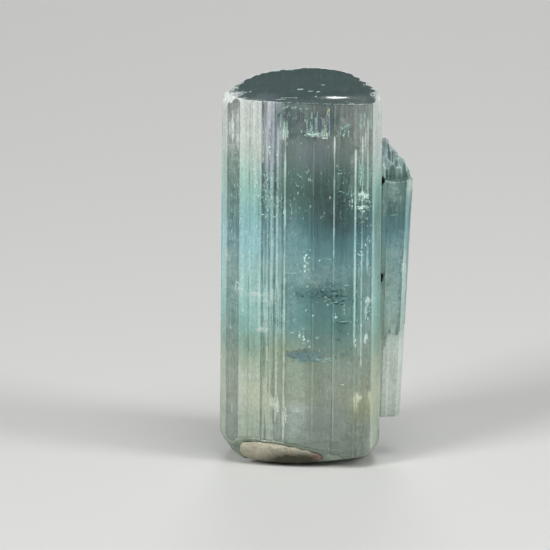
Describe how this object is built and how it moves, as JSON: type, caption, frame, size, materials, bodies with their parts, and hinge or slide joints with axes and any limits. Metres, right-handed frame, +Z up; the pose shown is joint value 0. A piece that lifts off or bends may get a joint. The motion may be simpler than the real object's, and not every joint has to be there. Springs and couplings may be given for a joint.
{
  "type": "indicolite tourmaline crystal",
  "caption": "Blue-green striated tourmaline prism with a flat top, a slimmer crystal grown on its flank and a rock remnant at its broken base.",
  "frame": {"origin": "middle of the flat part of the broken base that the crystal rests on", "axes": "+Z up the main prism towards its flat top, -Y towards the broad striated front, +X towards the side crystal"},
  "size_m": [0.0155, 0.0125, 0.0302],
  "materials": {
    "tourmaline": "gloss",
    "matrix": "matte"
  },
  "bodies": {
    "root": {"crystal": "tourmaline", "matrix_remnant": "matrix"}
  },
  "joints": []
}
